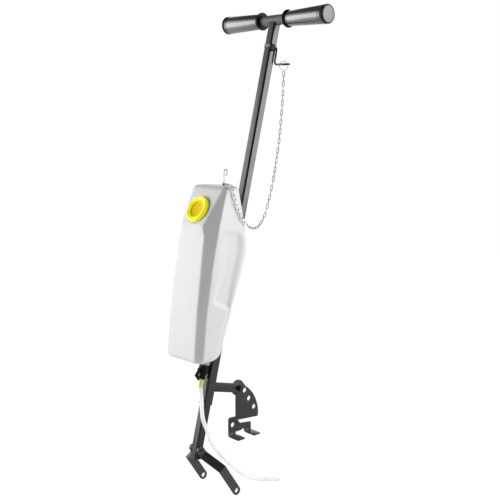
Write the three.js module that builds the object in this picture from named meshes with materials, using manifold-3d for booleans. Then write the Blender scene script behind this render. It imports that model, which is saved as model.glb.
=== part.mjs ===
// Handle with a hung liquid tank: a leaning square column with a T handlebar, a blow-moulded tank
// with a screw cap and an outlet valve, a pull chain, a drain hose, a sliding sleeve with an index
// bracket, and a cranked fork that carries the whole thing on two pins.
// Units are millimetres, +Z is up, +X is the handlebar's right end and -Y is the side the tank faces.
// The origin is midway between the two pin holes of the fork.
import * as THREE from 'three';
import { mergeVertices } from 'three/addons/utils/BufferGeometryUtils.js';
import Module from 'manifold-3d';

const wasm = await Module();
wasm.setup();

// ---------------------------------------------------------------- driving dimensions
const LEAN = THREE.MathUtils.degToRad(14.1);      // the column's lean back from the vertical
const ARM_TILT = THREE.MathUtils.degToRad(33.7);  // the fork arms' angle from the vertical
const ARM_LENGTH = 127.5;                         // pin hole to fork bolt
const ARM_WIDTH = 22;
const ARM_THICK = 5;
const PIN_SPAN = 127;                             // centre to centre of the two arm ends
const GAP = 0.3;                                  // air between pieces that touch

const TUBE = 20;                                  // column, square
const TUBE_WALL = 2;
const TUBE_BELOW_BOLT = 20;
const BAR_Z = 1062.3;                             // handlebar axis above the fork bolt
const BAR_RADIUS = 12.5;
const BAR_HALF = 171;

const GRIP_INNER = 42;                            // |X| of the grips' inboard ends
const GRIP_OUTER = 170;
const SLEEVE = 25;
const SLEEVE_WALL = 2.2;
const SLEEVE_Z = [111, 261];
const SIDE_BAR_Z = 154.5;
const SIDE_BAR_HEIGHT = 23;
const SIDE_BAR_THICK = 6;
const PIVOT_Y = 99.6;                             // bracket bolt behind the column axis

const WALL = 3;                                   // tank wall
const TANK_TOP = 628.5;                           // top plane at y = -110
const TANK_BOTTOM = 212;                          // bottom plane at y = -104
const OUTLET_Y = -25.7;
const CHAIN_RADIUS = 3.4;
const HOSE_RADIUS = 5;

// ---------------------------------------------------------------- materials
const paint = { color: 0x2f3133, roughness: 0.5, metalness: 0.6 };
const steel = { color: 0xb9bcc0, roughness: 0.3, metalness: 1 };
const blackSteel = { color: 0x1d1e20, roughness: 0.45, metalness: 0.7 };
const black = { color: 0x141415, roughness: 0.35, metalness: 0 };
const rubber = { color: 0x1b1b1b, roughness: 0.8, metalness: 0 };
const milky = { color: 0xf1f2f2, roughness: 0.4, metalness: 0 };
const yellow = { color: 0xf5e21a, roughness: 0.4, metalness: 0 };
const brass = { color: 0xb8963e, roughness: 0.35, metalness: 1 };
const grey = { color: 0x9a9c9f, roughness: 0.5, metalness: 0 };
const clear = { color: 0xe8ecee, roughness: 0.2, metalness: 0 };

// ---------------------------------------------------------------- solids
function solid(geometry) {
  const plain = geometry.clone();
  plain.deleteAttribute('normal');
  plain.deleteAttribute('uv');
  const merged = mergeVertices(plain, 1e-4);
  return new wasm.Manifold(new wasm.Mesh({
    numProp: 3,
    vertProperties: new Float32Array(merged.attributes.position.array),
    triVerts: new Uint32Array(merged.index.array),
  }));
}

function geometryOf(manifold) {
  const mesh = manifold.getMesh();
  const geometry = new THREE.BufferGeometry();
  geometry.setAttribute('position', new THREE.BufferAttribute(mesh.vertProperties, 3));
  geometry.setIndex(new THREE.BufferAttribute(mesh.triVerts, 1));
  geometry.computeVertexNormals();
  return geometry;
}

const cut = (body, ...tools) => geometryOf(tools.reduce((a, b) => a.subtract(solid(b)), solid(body)));
const join = (body, ...more) => geometryOf(more.reduce((a, b) => a.add(solid(b)), solid(body)));
const common = (a, b) => geometryOf(solid(a).intersect(solid(b)));

function part(name, geometry, look) {
  const mesh = new THREE.Mesh(geometry, new THREE.MeshStandardMaterial(look));
  mesh.name = name;
  return mesh;
}

function box(x, y, z) {
  return new THREE.BoxGeometry(x[1] - x[0], y[1] - y[0], z[1] - z[0])
    .translate((x[0] + x[1]) / 2, (y[0] + y[1]) / 2, (z[0] + z[1]) / 2);
}

// A rod from one end to the other along x, y or z, centred on the other two axes.
function rod(axis, from, to, radius, sides = 24) {
  const geometry = new THREE.CylinderGeometry(radius, radius, to - from, sides);
  geometry.translate(0, (from + to) / 2, 0);
  if (axis === 'x') geometry.rotateZ(-Math.PI / 2);
  if (axis === 'z') geometry.rotateX(Math.PI / 2);
  return geometry;
}

function ringX(from, to, outer, inner, sides = 24) {
  return cut(rod('x', from, to, outer, sides), rod('x', from - 1, to + 1, inner, sides));
}

function nutX(from, to, across, bore) {
  return cut(rod('x', from, to, across, 6), rod('x', from - 1, to + 1, bore, 20));
}

// A body of revolution about z from [radius, height] pairs.
function turned(profile, sides = 32) {
  const points = profile.map(([r, h]) => new THREE.Vector2(r, h));
  const geometry = new THREE.LatheGeometry(points, sides).rotateX(Math.PI / 2);
  return geometry;
}

// A flat plate: an outline in (y, z) given thickness along x.
function plateX(shape, from, to, curveSegments = 16) {
  const geometry = new THREE.ExtrudeGeometry(shape, {
    depth: to - from, bevelEnabled: false, curveSegments,
  });
  geometry.applyMatrix4(new THREE.Matrix4().set(
    0, 0, 1, from,
    1, 0, 0, 0,
    0, 1, 0, 0,
    0, 0, 0, 1));
  return geometry;
}

function sweep(points, radius, steps, sides = 8, closed = false) {
  const path = new THREE.CatmullRomCurve3(points.map((p) => new THREE.Vector3(...p)), closed);
  const section = new THREE.Shape();
  for (let i = 0; i < sides; i += 1) {
    const a = (2 * Math.PI * i) / sides;
    const go = i === 0 ? 'moveTo' : 'lineTo';
    section[go](radius * Math.cos(a), radius * Math.sin(a));
  }
  return new THREE.ExtrudeGeometry(section, { steps, extrudePath: path, bevelEnabled: false });
}

// ---------------------------------------------------------------- frames
const product = new THREE.Group();

// The column frame: z runs up the column from the fork bolt, y points behind it.
const column = new THREE.Group();
column.position.set(0, -ARM_LENGTH * Math.sin(ARM_TILT), ARM_LENGTH * Math.cos(ARM_TILT));
column.rotation.x = -LEAN;
product.add(column);

// The fork frame: z runs up the arms from the pin holes to the bolt.
const fork = new THREE.Group();
fork.rotation.x = ARM_TILT;
product.add(fork);

// ---------------------------------------------------------------- fork
const BOLT_RADIUS = 4;
const BEND_HIGH = ARM_LENGTH - 16;
const BEND_LOW = ARM_LENGTH - 47;
const ARM_NEAR = TUBE / 2 + 0.4;

function armOutline() {
  const half = ARM_WIDTH / 2;
  const shape = new THREE.Shape();
  shape.absarc(0, 0, half, Math.PI, 2 * Math.PI, false);
  shape.absarc(0, ARM_LENGTH, half, 0, Math.PI, false);
  shape.closePath();
  for (const [z, radius] of [[0, 6], [ARM_LENGTH, BOLT_RADIUS + 0.4]]) {
    shape.holes.push(new THREE.Path().absarc(0, z, radius, 0, 2 * Math.PI, true));
  }
  return plateX(shape, 0, PIN_SPAN, 10);
}

function armRibbon() {
  const far = PIN_SPAN / 2 - ARM_THICK / 2;
  const shape = new THREE.Shape([
    [ARM_NEAR, ARM_LENGTH + 20], [ARM_NEAR, BEND_HIGH], [far, BEND_LOW], [far, -20],
    [far + ARM_THICK, -20], [far + ARM_THICK, BEND_LOW + 2.4],
    [ARM_NEAR + ARM_THICK, BEND_HIGH + 2.4], [ARM_NEAR + ARM_THICK, ARM_LENGTH + 20],
  ].map(([x, z]) => new THREE.Vector2(x, z)));
  const geometry = new THREE.ExtrudeGeometry(shape, { depth: 60, bevelEnabled: false });
  return geometry.rotateX(Math.PI / 2).translate(0, 30, 0);
}

function addFork() {
  const right = common(armOutline(), armRibbon());
  const left = geometryOf(solid(right).mirror([1, 0, 0]));
  fork.add(part('fork_arm_right', right, paint));
  fork.add(part('fork_arm_left', left, paint));

  const outside = ARM_NEAR + ARM_THICK + GAP;
  const hardware = new THREE.Group();
  hardware.position.z = ARM_LENGTH;
  const washer = 1.6;
  const head = outside + washer + GAP;
  hardware.add(part('fork_washer_left', ringX(-outside - washer, -outside, 8, BOLT_RADIUS + 0.4), blackSteel));
  // The bolt ends flush with the outer face of the right arm, which takes its thread.
  hardware.add(part('fork_bolt', join(
    rod('x', -head - 5.3, -head, 7.5, 6), rod('x', -head - 1, outside - GAP, BOLT_RADIUS)), blackSteel));
  fork.add(hardware);
}

// ---------------------------------------------------------------- column and handlebar
function squareTube(outer, wall, from, to) {
  const half = outer / 2;
  const inner = half - wall;
  return cut(box([-half, half], [-half, half], [from, to]),
    box([-inner, inner], [-inner, inner], [from - 1, to + 1]));
}

const TANK_SCREW_Z = [330, 480];
const SCREW_RADIUS = 3;

function addColumn() {
  const top = BAR_Z - BAR_RADIUS + 7;
  const tube = cut(squareTube(TUBE, TUBE_WALL, -TUBE_BELOW_BOLT, top),
    rod('x', -20, 20, BOLT_RADIUS + 0.4),
    rod('x', -20, 20, BAR_RADIUS + GAP, 28).translate(0, 0, BAR_Z),
    ...TANK_SCREW_Z.map((z) => rod('y', -20, 20, SCREW_RADIUS + 0.4).translate(0, 0, z)));
  column.add(part('column', tube, paint));

  const plug = join(box([-9.6, 9.6], [-9.6, 9.6], [-23, -TUBE_BELOW_BOLT - GAP]),
    box([-7.6, 7.6], [-7.6, 7.6], [-TUBE_BELOW_BOLT - 1, -10]));
  column.add(part('column_plug', plug, black));

  const bar = cut(rod('x', -BAR_HALF, BAR_HALF, BAR_RADIUS, 28),
    rod('x', -BAR_HALF - 1, BAR_HALF + 1, BAR_RADIUS - 2, 24));
  column.add(part('cross_bar', bar.translate(0, 0, BAR_Z), paint));
}

function addGrip(side, sign) {
  const bore = BAR_RADIUS + GAP;
  const inner = GRIP_INNER + 9;
  const grip = new THREE.Group();
  grip.position.z = BAR_Z;
  grip.rotation.y = sign * Math.PI / 2;
  grip.add(part(`grip_${side}`, turned([
    [bore, inner], [17.6, inner], [18.6, inner + 1], [22.4, GRIP_OUTER - 2], [22, GRIP_OUTER],
    [bore, GRIP_OUTER], [bore, inner],
  ], 28), black));
  grip.add(part(`grip_collar_${side}`, turned([
    [bore, GRIP_INNER], [20.5, GRIP_INNER], [21.5, GRIP_INNER + 1], [21.5, GRIP_INNER + 5],
    [18, inner - GAP], [bore, inner - GAP], [bore, GRIP_INNER],
  ], 28), black));
  const face = GRIP_OUTER + GAP;
  grip.add(part(`grip_cap_${side}`, turned([
    [0, BAR_HALF + GAP], [bore, BAR_HALF + GAP], [bore, face], [22, face], [22.5, face + 1],
    [22.5, face + 3], [20.5, face + 5], [0, face + 5.6],
  ], 28), grey));
  column.add(grip);
}

// ---------------------------------------------------------------- chain hook near the handlebar
const HOOK_Z = 995.8;
const EYE = [16, 45.8, 965];
const EYE_TILT = THREE.MathUtils.degToRad(17);
const EYE_RADIUS = 9;
const HOOK_WIRE = 2.4;

function addHook() {
  const half = TUBE / 2 + GAP;
  const strap = 2;
  const band = cut(box([-half - strap, half + strap], [-half - strap, half + strap], [HOOK_Z - 4, HOOK_Z + 4]),
    box([-half, half], [-half, half], [HOOK_Z - 5, HOOK_Z + 5]));
  column.add(part('hook_band', band, blackSteel));

  const clamp = new THREE.Shape([
    [-9.5, -9], [-9.5, 4], [-7.5, 5.5], [2.5, 5.5], [2.5, -9], [-3.5, -14],
  ].map(([y, z]) => new THREE.Vector2(y, z)));
  const inside = half + strap + GAP;
  const block = plateX(clamp, inside, EYE[0] + HOOK_WIRE + 1.5, 4).translate(0, 0, HOOK_Z);
  column.add(part('hook_clip', cut(block, rod('y', -5, 10, HOOK_WIRE + GAP, 16).translate(EYE[0], 0, HOOK_Z - 1.2)),
    blackSteel));

  const along = (distance) => [
    EYE[0], EYE[1] + distance * Math.cos(EYE_TILT), EYE[2] + distance * Math.sin(EYE_TILT),
  ];
  const shank = sweep([
    [EYE[0], -4.5, HOOK_Z - 1.2], [EYE[0], 3, HOOK_Z - 1.2], [EYE[0], 6, HOOK_Z - 2.6], [EYE[0], 7.3, HOOK_Z - 7.5],
    [EYE[0], 8, 970], [EYE[0], 8.8, 959.5], [EYE[0], 12, 955.6], along(-30), along(-20), along(-EYE_RADIUS),
  ], HOOK_WIRE, 30, 8);
  const eye = new THREE.TorusGeometry(EYE_RADIUS, HOOK_WIRE, 8, 24).rotateX(EYE_TILT).translate(...EYE);
  column.add(part('hook_rod', join(shank, eye), blackSteel));
}

// ---------------------------------------------------------------- tank
// Each station of the tank: height z up the column, front y, half width, corner chamfer, the back
// edge of the side walls, and the back of the central spine that rests on the column.
const STATIONS = [
  [200, -101, 66.3, 15, -45, -13.8],
  [327, -121, 66.8, 16.6, -32.5, -13.8],
  [440, -132.5, 67.3, 19.5, -19, -13.8],
  [486, -136.2, 67.5, 21.5, -14, -13.8],
  [504, -136.5, 67.5, 22.3, -14.5, -13.8],
  [512, -137, 67.4, 22.6, -17, -16],
  [518, -142, 67.3, 26.5, -19, -16.5],
  [531, -142.5, 66.8, 27.5, -24.5, -20.5],
  [571, -130.2, 64.1, 18, -42, -35],
  [634, -110.9, 59.5, 5.5, -70, -60],
  [670, -99.8, 57, 2, -86, -74],
];
const SPINE_HALF = 27;

function tankLoft(inset) {
  const rings = STATIONS.map(([z, front, width, chamfer, back, spine]) => {
    const w = width - inset;
    const c = chamfer - inset * (2 - Math.SQRT2);
    const f = front + inset;
    const half = [[w - c, f], [w, f + c], [w, back - inset], [SPINE_HALF - inset, spine - inset]];
    const other = half.map(([x, y]) => [-x, y]).reverse();
    return [...half, ...other].map(([x, y]) => new THREE.Vector3(x, y, z));
  });
  const count = rings[0].length;
  const triangles = [];
  const quad = (a, b, c, d) => triangles.push(a, b, c, a, c, d);
  for (let k = 0; k + 1 < rings.length; k += 1) {
    for (let i = 0; i < count; i += 1) {
      const j = (i + 1) % count;
      quad(rings[k][i], rings[k][j], rings[k + 1][j], rings[k + 1][i]);
    }
  }
  const first = rings[0];
  const last = rings[rings.length - 1];
  for (let i = 1; i + 1 < count; i += 1) {
    triangles.push(first[0], first[i + 1], first[i], last[0], last[i], last[i + 1]);
  }
  const positions = new Float32Array(triangles.flatMap((p) => [p.x, p.y, p.z]));
  const geometry = new THREE.BufferGeometry();
  geometry.setAttribute('position', new THREE.BufferAttribute(positions, 3));
  return geometry;
}

// The slab between the tank's level bottom and top, in the column frame.
function levelSlab(inset) {
  const pivotLow = new THREE.Vector2(-104, TANK_BOTTOM);
  const pivotHigh = new THREE.Vector2(-110, TANK_TOP);
  const along = new THREE.Vector2(Math.cos(LEAN), Math.sin(LEAN));
  const up = new THREE.Vector2(-Math.sin(LEAN), Math.cos(LEAN));
  const at = (p, d, lift) => p.clone().addScaledVector(along, d).addScaledVector(up, lift);
  const shape = new THREE.Shape([
    at(pivotLow, -120, inset), at(pivotLow, 200, inset), at(pivotHigh, 200, -inset), at(pivotHigh, -120, -inset),
  ]);
  return plateX(shape, -200, 200);
}

const FACET_Z = 568.3;                             // where the filler's axis leaves the sloped facet
const FACET_SLOPE = 12.3 / 40;                     // the facet's set back for each step up
const FACET_Y = -142.5 + FACET_SLOPE * (FACET_Z - 531);
const FACET_TILT = Math.atan(FACET_SLOPE);

// The filler frame: z is the facet's outward normal, z = 0 on the facet.
function fillerFrame() {
  const frame = new THREE.Group();
  frame.position.set(0, FACET_Y, FACET_Z);
  frame.rotation.x = Math.PI / 2 - FACET_TILT;
  return frame;
}

const OUTLET_TOP = 207.3;                          // lower end of the tank's outlet neck
const ROD_TOP = new THREE.Vector3(0, -68.6, 642);  // where the valve rod comes out of the tank
const SEAT_Z = 246;                                // the valve seat inside the tank
const ROD_FOOT = new THREE.Vector3(0, OUTLET_Y, SEAT_Z + 4);
const ROD_RADIUS = 1.6;

function between(a, b, radius, sides = 16) {
  const length = a.distanceTo(b);
  const geometry = new THREE.CylinderGeometry(radius, radius, length, sides);
  const turn = new THREE.Quaternion().setFromUnitVectors(
    new THREE.Vector3(0, 1, 0), b.clone().sub(a).normalize());
  return geometry.applyQuaternion(turn).translate((a.x + b.x) / 2, (a.y + b.y) / 2, (a.z + b.z) / 2);
}

function addTank() {
  const frame = fillerFrame();
  frame.updateMatrix();
  const place = (geometry) => geometry.applyMatrix4(frame.matrix);
  const neckRing = place(rod('z', -6, 5, 27, 28));
  const neckBore = place(rod('z', -30, 8, 23, 28));
  const outletNeck = rod('z', OUTLET_TOP, 241, 9, 20).translate(0, OUTLET_Y, 0);
  const valveSeat = rod('z', 236, SEAT_Z, 9, 20).translate(0, OUTLET_Y, 0);
  const outletBore = rod('z', OUTLET_TOP - 5, SEAT_Z + 1, 5.5, 20).translate(0, OUTLET_Y, 0);
  const rodHole = between(ROD_TOP.clone().lerp(ROD_FOOT, 0.1), ROD_TOP.clone().lerp(ROD_FOOT, -0.03), 4.2, 12);
  const outer = solid(tankLoft(0)).intersect(solid(levelSlab(0)))
    .add(solid(neckRing)).add(solid(outletNeck));
  const inner = solid(tankLoft(WALL)).intersect(solid(levelSlab(WALL)));
  let shell = outer.subtract(inner).add(solid(valveSeat)).subtract(solid(neckBore))
    .subtract(solid(outletBore)).subtract(solid(rodHole));
  for (const z of TANK_SCREW_Z) {
    const boss = solid(rod('y', -29, -14.5, 8, 16).translate(0, 0, z));
    const thread = solid(rod('y', -26, 0, SCREW_RADIUS + GAP, 12).translate(0, 0, z));
    shell = shell.add(boss).subtract(thread);
  }
  column.add(part('tank', geometryOf(shell), milky));
}

function addFiller() {
  const frame = fillerFrame();
  frame.add(part('filler_cap', turned([
    [0, 2.4], [22.4, 2.4], [22.4, 6.9], [27.6, 6.9], [27.6, 0.4], [33, 0.4], [33, 8.4], [31.5, 9.9],
    [25, 9.9], [20.4, 4.6], [0, 4.4],
  ], 32), yellow));
  frame.add(part('cap_gasket', turned([[23.2, 5.3], [26.8, 5.3], [26.8, 6.6], [23.2, 6.6], [23.2, 5.3]], 28), rubber));
  column.add(frame);
}

// ---------------------------------------------------------------- valve rod with its seal
function addValveRod() {
  const high = ROD_TOP.clone().lerp(ROD_FOOT, -0.012);
  const rise = new THREE.Vector3(0, -Math.sin(LEAN), Math.cos(LEAN));
  const side = new THREE.Vector3(Math.SQRT1_2, Math.SQRT1_2 * Math.cos(LEAN), Math.SQRT1_2 * Math.sin(LEAN));
  const crook = 4.5;
  const centre = high.clone().addScaledVector(rise, 30).addScaledVector(side, crook);
  const points = [ROD_FOOT.clone().lerp(high, 0.985), high, high.clone().addScaledVector(rise, 14)];
  for (let k = 0; k <= 8; k += 1) {
    const a = Math.PI - (k / 8) * Math.PI * 1.35;
    points.push(centre.clone().addScaledVector(side, crook * Math.cos(a)).addScaledVector(rise, crook * Math.sin(a)));
  }
  const hook = sweep(points.map((p) => p.toArray()), ROD_RADIUS, 24, 8);
  const straight = between(ROD_FOOT, high, ROD_RADIUS, 12);
  column.add(part('valve_rod', join(straight, hook), steel));

  const axis = high.clone().sub(ROD_FOOT).normalize();
  const stopper = turned([[0, 0], [6, 0], [8, 2], [8, 6], [5, 10], [0, 10]], 24)
    .translate(0, OUTLET_Y, SEAT_Z + GAP);
  const rodWay = between(ROD_FOOT.clone().addScaledVector(axis, -0.5),
    ROD_FOOT.clone().addScaledVector(axis, 12), ROD_RADIUS + GAP);
  column.add(part('valve_seal', cut(stopper, rodWay), rubber));

  const grommet = new THREE.Group();
  grommet.position.copy(ROD_TOP);
  grommet.quaternion.setFromUnitVectors(new THREE.Vector3(0, 0, 1), axis);
  grommet.add(part('rod_grommet', turned([[2.3, -9], [3.8, -9], [3.8, -1], [3.8, 0.4], [2.3, 0.4], [2.3, -9]], 24), rubber));
  column.add(grommet);
}

// ---------------------------------------------------------------- outlet, tap and hose barb
const BARB_RADIUS = 2.9;
const HOSE_START = 170;

function addOutlet() {
  const outlet = new THREE.Group();
  outlet.position.set(0, OUTLET_Y, 0);
  outlet.add(part('outlet_nut', turned([
    [9.9, 207], [12.2, 207], [12.8, 208], [12.8, 213], [12.2, 214], [9.9, 214], [9.9, 207],
  ], 12), grey));
  const body = turned([
    [3.3, 172.3], [7.4, 172.3], [8, 173.3], [8, 183.5], [11.6, 187], [12.2, 190], [12.2, 203], [11.4, OUTLET_TOP - 0.6],
    [5, OUTLET_TOP - 0.6], [5, 196], [3.3, 194], [3.3, 172.3],
  ], 24);
  outlet.add(part('valve_body', cut(body, rod('y', -20, -5, 3.3, 20).translate(0, 0, 194)), black));

  const lever = new THREE.Shape();
  [
    [-13.2, 4], [-17, 4], [-18, -3], [-23.5, -15], [-11, -26], [-8.7, -24], [-9, -15], [-13.2, -13.9],
  ].forEach(([y, z], i) => {
    lever[i === 0 ? 'moveTo' : 'lineTo'](y, z);
  });
  lever.closePath();
  const tap = geometryOf(solid(plateX(lever, -3, 3)).add(solid(rod('y', -14, -5.5, 3, 20))));
  outlet.add(part('tap_lever', tap.translate(0, 0, 194), black));

  outlet.add(part('hose_barb', turned([
    [1.6, HOSE_START + GAP], [2.4, HOSE_START + GAP], [BARB_RADIUS, 173], [2.3, 174], [2.3, 180],
    [BARB_RADIUS, 181], [BARB_RADIUS, 193], [1.6, 193], [1.6, HOSE_START + GAP],
  ], 24), brass));
  outlet.add(part('hose_clip', turned([
    [HOSE_RADIUS + 0.4, 161.5], [6.4, 161.5], [6.8, 162], [6.8, 166], [6.4, 166.5], [HOSE_RADIUS + 0.4, 166.5],
    [HOSE_RADIUS + 0.4, 161.5],
  ], 24), steel));
  column.add(outlet);
}

// ---------------------------------------------------------------- tank screws
function addTankScrews() {
  ['lower', 'upper'].forEach((where, i) => {
    const spot = new THREE.Group();
    spot.position.z = TANK_SCREW_Z[i];
    const back = TUBE / 2 + GAP;
    spot.add(part(`tank_screw_${where}`, join(
      rod('y', back, back + 4, 5.5, 6), rod('y', -25, back + 1, SCREW_RADIUS, 20)), blackSteel));
    spot.add(part(`tank_spacer_${where}`, cut(
      rod('y', -13.5, -10.3, 8, 24), rod('y', -20, 0, SCREW_RADIUS + GAP, 20)), rubber));
    column.add(spot);
  });
}

// ---------------------------------------------------------------- sleeve, side bar, index bracket
const BOLT_X = SIDE_BAR_THICK;
const PLATE_X = [-4.3, -0.3];
const FOOT_REACH = 34;

function bracketOutline() {
  const arcY = -30;
  const arcZ = -84;
  const radius = 100;
  const shape = new THREE.Shape();
  shape.moveTo(-30.5, -119);
  shape.lineTo(-30.5, -78);
  shape.quadraticCurveTo(-30.5, -73, -25, -72.5);
  shape.lineTo(-7.5, -74);
  shape.lineTo(-6.3, -77);
  shape.lineTo(-6.3, -19);
  shape.absarc(0, 0, 20, Math.PI + 1.25, 0.75, true);
  shape.absarc(arcY, arcZ, radius, 0.97, 0.02, true);
  shape.lineTo(69.5, -86);
  shape.lineTo(67, -90.5);
  shape.lineTo(-0.5, -84.5);
  shape.lineTo(8, -94.8);
  shape.lineTo(43, -99);
  shape.lineTo(44.2, -101);
  shape.lineTo(44.2, -119);
  shape.lineTo(23, -119);
  shape.lineTo(21, -113.5);
  shape.lineTo(16.5, -110);
  shape.lineTo(13, -113.5);
  shape.lineTo(-4.5, -114.5);
  shape.lineTo(-7.5, -112);
  shape.lineTo(-8, -119);
  shape.closePath();
  const holes = [[0, 0, 4.5], [23.4, -12, 6.3], [38, -36.2, 6.3], [55.2, -62.3, 6.3], [-17.5, -93.4, 6.3]];
  for (const [y, z, r] of holes) {
    shape.holes.push(new THREE.Path().absarc(y, z, r, 0, 2 * Math.PI, false));
  }
  return shape;
}

function bracket() {
  const thick = PLATE_X[1] - PLATE_X[0];
  const plate = plateX(bracketOutline(), PLATE_X[0], PLATE_X[1], 9);
  const tab = (y) => box([PLATE_X[0], FOOT_REACH], y, [-119 - thick, -119 + 0.01]);
  return join(plate, tab([-30.5, -8]), tab([23, 44.2]));
}

function addSleeve() {
  const body = cut(squareTube(SLEEVE, SLEEVE_WALL, ...SLEEVE_Z),
    rod('x', -20, 0, 3.4, 16).translate(0, 0, 135));
  column.add(part('sleeve', body, paint));

  const screw = new THREE.Group();
  screw.position.z = 135;
  screw.add(part('sleeve_screw', join(
    rod('x', -SLEEVE / 2 - 8.5, -SLEEVE / 2 - 4, 6.5, 6),
    rod('x', -SLEEVE / 2 - 5, -TUBE / 2 - GAP, 3)), blackSteel));
  screw.add(part('sleeve_nut', nutX(-SLEEVE / 2 - 3.6, -SLEEVE / 2 - GAP, 6.5, 3 + GAP), blackSteel));
  column.add(screw);

  const half = SIDE_BAR_HEIGHT / 2;
  const bar = new THREE.Shape();
  bar.moveTo(SLEEVE / 2 + GAP, -half);
  bar.lineTo(PIVOT_Y, -half);
  bar.absarc(PIVOT_Y, 0, half, -Math.PI / 2, Math.PI / 2, false);
  bar.lineTo(SLEEVE / 2 + GAP, half);
  bar.closePath();
  bar.holes.push(new THREE.Path().absarc(PIVOT_Y, 0, 4.4, 0, 2 * Math.PI, true));
  column.add(part('side_bar', plateX(bar, 0, SIDE_BAR_THICK).translate(0, 0, SIDE_BAR_Z), paint));

  const pivot = new THREE.Group();
  pivot.position.set(0, PIVOT_Y, SIDE_BAR_Z);
  pivot.add(part('bracket_washer', ringX(BOLT_X + GAP, BOLT_X + 1.9, 8.5, 4.4), blackSteel));
  const nearPlate = PLATE_X[0] - GAP;
  pivot.add(part('bracket_bolt', join(
    rod('x', BOLT_X + 2.2, BOLT_X + 8, 7.4, 6), rod('x', nearPlate - 9, BOLT_X + 3, 4)), blackSteel));
  pivot.add(part('bracket_nut', nutX(nearPlate - 6.8, nearPlate, 7.4, 4 + GAP), blackSteel));
  const upright = new THREE.Group();
  upright.rotation.x = LEAN;
  upright.add(part('index_bracket', bracket(), paint));
  pivot.add(upright);
  column.add(pivot);
}

// ---------------------------------------------------------------- hose and chain, in the product frame
const HOSE_ROUTE = [
  [0, -54.3, 277.2], [0, -56.7, 267.4], [0.3, -58.2, 259], [2, -59.2, 248], [4.5, -60.4, 237], [7.5, -61.8, 226],
  [10.5, -63.4, 213.5], [13.8, -65, 200], [17, -65.6, 187], [19.3, -62.6, 173.5], [20.8, -57.6, 160],
  [22.3, -53.5, 145.5], [24.2, -48.8, 131.5], [26.5, -41, 115.5], [28.5, -28, 97], [30, -12, 78], [31, 4, 60],
  [32, 20, 43.5], [33.5, 38, 27.5], [36, 60, 11], [41, 80, 0], [49, 97, -5.2], [60, 110.9, -6], [70, 122.5, -6],
  [80.4, 133.5, -6],
];
const RING_CENTRE = [12.9, 205.4, 1027.2];
const RING_RADIUS = 10.3;
const RING_TURN = THREE.MathUtils.degToRad(47.3);
const CHAIN_ROUTE = [
  [12.9, 205.3, 1013], [13.7, 204.2, 996], [14.4, 203, 984], [15.8, 200.3, 962], [18, 195.5, 930], [20, 189.5, 893], [23, 179.5, 838],
  [26.3, 166, 787], [30, 151, 738], [34.5, 133.5, 697], [39.5, 117, 667], [45, 97.5, 648], [50.5, 79, 639.8],
  [56, 62, 640], [60.8, 48, 643.6], [66.2, 38.5, 647.6], [69.8, 29, 653.6], [70.2, 22, 661], [69.2, 14.5, 673],
  [68.4, 7.5, 685], [67.2, 0, 703], [65.9, -6.2, 724], [65, -10, 737], [62.5, -12, 745.2], [55, -11, 746.9],
  [42, -5.5, 746.9], [30, 0.5, 746.9], [18, 6.5, 746.9], [7, 12, 746.9],
];

function addCords() {
  product.add(part('hose', sweep(HOSE_ROUTE, HOSE_RADIUS, 44, 10), clear));
  product.add(part('chain', sweep(CHAIN_ROUTE, CHAIN_RADIUS, 60, 6), steel));
  const ring = new THREE.TorusGeometry(RING_RADIUS, 1, 6, 24).rotateX(Math.PI / 2)
    .rotateZ(RING_TURN).translate(...RING_CENTRE);
  product.add(part('split_ring', ring, steel));
}

addFork();
addColumn();
addGrip('left', -1);
addGrip('right', 1);
addHook();
addTank();
addFiller();
addValveRod();
addOutlet();
addTankScrews();
addSleeve();
addCords();

export default product;
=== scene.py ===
"""A leaning handle column with a hung liquid tank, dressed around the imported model."""

import math

import bmesh
import bpy
import numpy as np
from mathutils import Matrix, Vector


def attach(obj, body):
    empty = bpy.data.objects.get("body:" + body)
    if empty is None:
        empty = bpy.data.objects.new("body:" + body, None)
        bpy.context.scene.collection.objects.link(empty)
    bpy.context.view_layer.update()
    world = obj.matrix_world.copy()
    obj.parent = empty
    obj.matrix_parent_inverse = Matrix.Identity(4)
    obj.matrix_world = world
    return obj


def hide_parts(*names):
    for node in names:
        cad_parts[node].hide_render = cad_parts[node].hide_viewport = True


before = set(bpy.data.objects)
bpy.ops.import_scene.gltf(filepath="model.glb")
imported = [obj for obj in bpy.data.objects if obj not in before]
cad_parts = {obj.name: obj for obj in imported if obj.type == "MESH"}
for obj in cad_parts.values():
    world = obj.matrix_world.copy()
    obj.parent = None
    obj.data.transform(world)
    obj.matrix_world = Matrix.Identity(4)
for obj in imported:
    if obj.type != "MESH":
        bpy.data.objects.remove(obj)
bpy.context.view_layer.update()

MM = 0.001
LEAN = 14.1  # the column's lean back, degrees
ARM_TILT = 33.7  # the fork arms against the vertical, degrees
FLOOR = -11.0  # the fork's lowest point, mm
COLUMN_Y = -70.74  # where the column's own frame stands, mm
COLUMN_Z = 106.07

# ---------------------------------------------------------------- camera
lens = bpy.data.cameras.new("camera")
lens.lens = 61.2
lens.sensor_width = 36.0
camera = bpy.data.objects.new("camera", lens)
camera.location = (1.5299, -1.3077, 0.8990)
camera.rotation_euler = (math.radians(81.2), 0, math.radians(47.3))
bpy.context.scene.collection.objects.link(camera)
bpy.context.scene.camera = camera


# ---------------------------------------------------------------- frames, in mm
def turn(axis, degrees):
    return np.array(Matrix.Rotation(math.radians(degrees), 4, axis))


def shift(x, y, z):
    matrix = np.eye(4)
    matrix[:3, 3] = (x, y, z)
    return matrix


def move(part, matrix):
    """The same body carried by the matrix."""
    points, faces = part
    return points @ matrix[:3, :3].T + matrix[:3, 3], faces


COLUMN = shift(0, COLUMN_Y, COLUMN_Z) @ turn("X", -LEAN)
FORK = turn("X", ARM_TILT)
ALONG_X = turn("Y", 90)  # carries +Z to +X
ALONG_Y = turn("X", -90)  # carries +Z to +Y


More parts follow.
